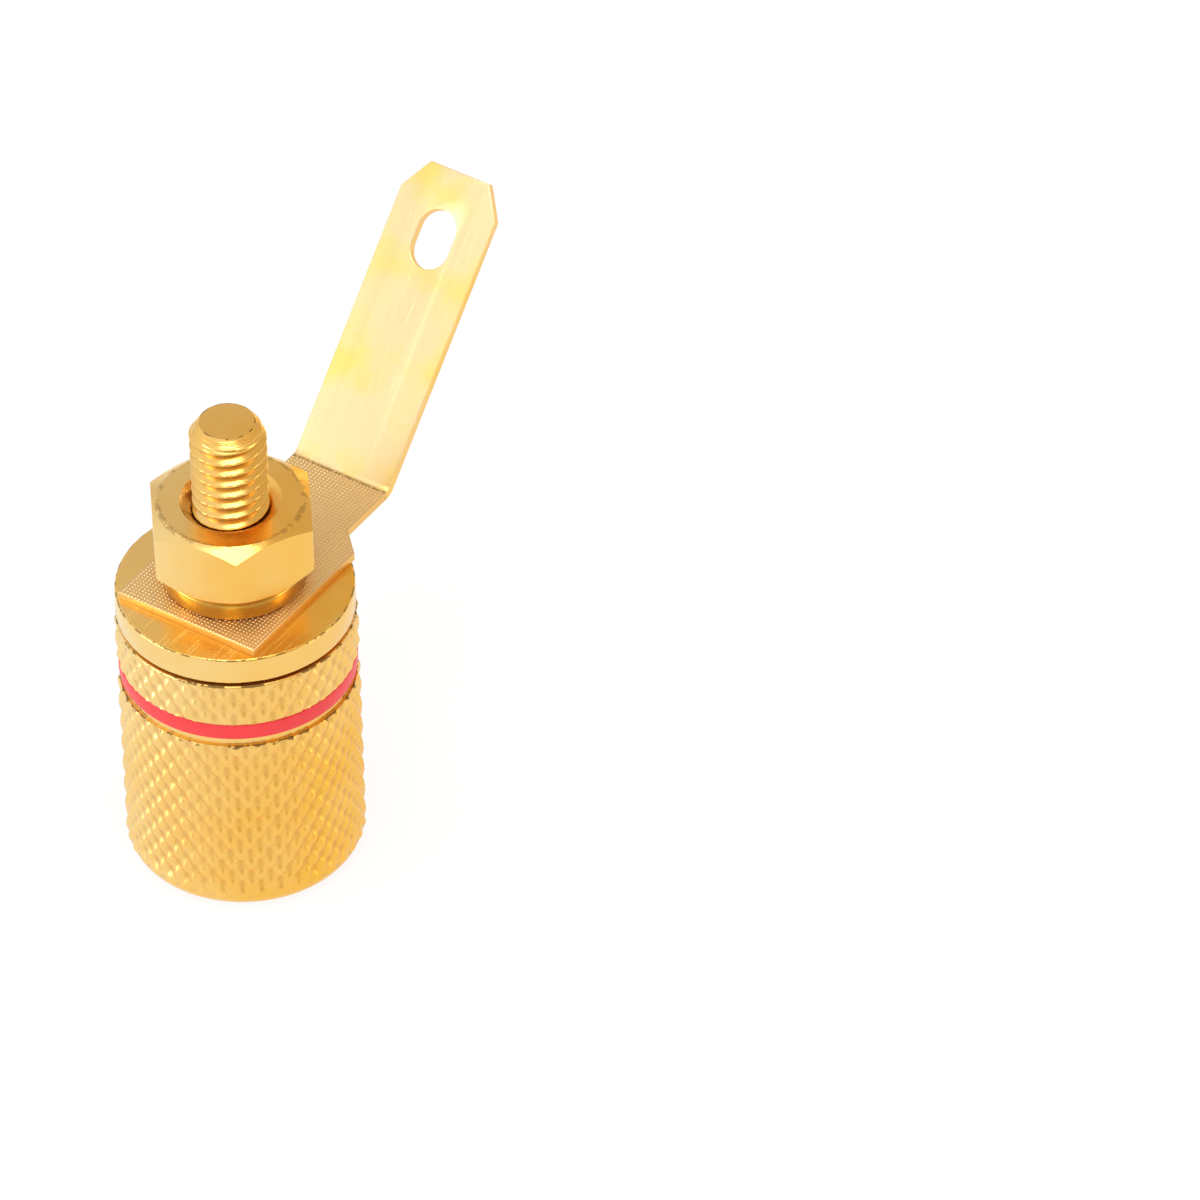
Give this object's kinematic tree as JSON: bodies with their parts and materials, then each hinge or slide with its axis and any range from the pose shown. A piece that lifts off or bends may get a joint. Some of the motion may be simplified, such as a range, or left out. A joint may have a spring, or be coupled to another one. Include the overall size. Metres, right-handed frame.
{
  "type": "binding post",
  "caption": "Gold-plated binding post: knurled screw cap with a red ring on a flanged post with a 4 mm plug socket, wire hole, M4 stud, solder tag, spring washer and hex nut",
  "frame": {"origin": "centre of the cap's closed end face, on the axis, in the mouth of the plug hole", "axes": "+Z runs along the axis from the plug end to the free end of the stud; +X is the direction of the solder tag's tail"},
  "size_m": [0.0276, 0.0126, 0.0295],
  "materials": {
    "gold_plate": "bright gold plating on turned brass",
    "gold_sheet": "satin gold plating on stamped brass sheet",
    "red_plastic": "smooth red moulded plastic"
  },
  "bodies": {
    "cap_body": {"cap": "gold_plate"},
    "ring_body": {"colour_ring": "red_plastic"},
    "post_body": {"post": "gold_plate"},
    "tag_body": {"solder_tag": "gold_sheet"},
    "washer_body": {"spring_washer": "gold_plate"},
    "nut_body": {"hex_nut": "gold_plate"}
  },
  "joints": [
    {"name": "cap_turn", "type": "hinge", "parent": "cap_body", "child": "ring_body", "pos_m": [0, 0, 0], "axis": [0, 0, 1], "range_deg": [0, 2880]},
    {"name": "cap_travel", "type": "slide", "parent": "ring_body", "child": "post_body", "axis": [0, 0, 1], "range_m": [0, 0.008]},
    {"name": "tag_swing", "type": "hinge", "parent": "post_body", "child": "tag_body", "pos_m": [0, 0, 0.017], "axis": [0, 0, 1], "continuous": true},
    {"name": "nut_turn", "type": "hinge", "parent": "post_body", "child": "washer_body", "pos_m": [0, 0, 0.0175], "axis": [0, 0, 1], "range_deg": [0, 2520]},
    {"name": "nut_travel", "type": "slide", "parent": "washer_body", "child": "nut_body", "axis": [0, 0, 1], "range_m": [0, 0.0049]}
  ],
  "couplings": [
    {"joint": "cap_turn", "follows": "cap_travel", "rad_per_m": 6283.2},
    {"joint": "nut_turn", "follows": "nut_travel", "rad_per_m": 8976}
  ]
}
